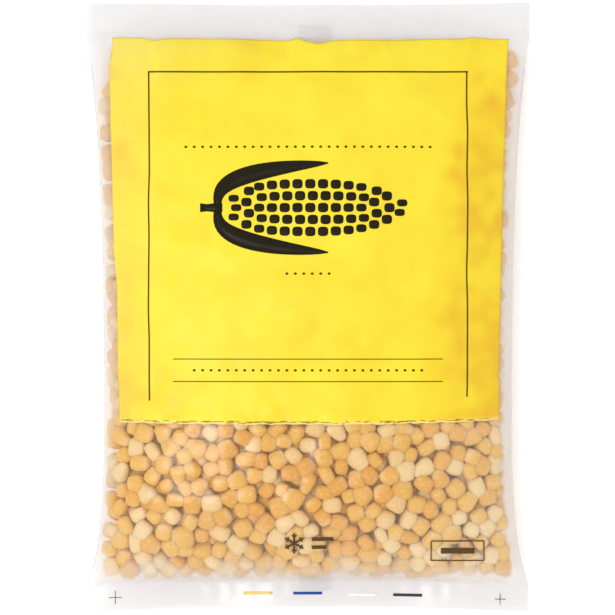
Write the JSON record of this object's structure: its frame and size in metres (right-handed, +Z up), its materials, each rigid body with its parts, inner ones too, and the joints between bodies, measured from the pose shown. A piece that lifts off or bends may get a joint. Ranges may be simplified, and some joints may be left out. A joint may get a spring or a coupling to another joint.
{
  "type": "frozen vegetable bag",
  "caption": "Sealed clear film pillow bag of frozen sweetcorn kernels with a large opaque yellow print panel, lying on its back.",
  "frame": {"origin": "middle of the plane on which the bag lies, under the middle of its outline", "axes": "+Z up through the printed front, +Y along the bag towards its top seal, +X to the right as the print is seen"},
  "size_m": [0.18, 0.2476, 0.0339],
  "materials": {
    "printed_film": "clear polyethylene film over golden kernels, with a yellow print field over the upper two thirds of the front",
    "clear_film": "slightly milky clear polyethylene film, soft gloss",
    "yellow_ink": "opaque yellow print under the film's soft gloss",
    "dark_ink": "thin dark brown printed lines and bars",
    "mark_ink": "small printed colour marks on the bottom seal",
    "sweetcorn": "frozen sweetcorn kernels, golden to pale cream, waxy skin with a little frost"
  },
  "bodies": {
    "root": {"bag": "printed_film"}
  },
  "joints": []
}
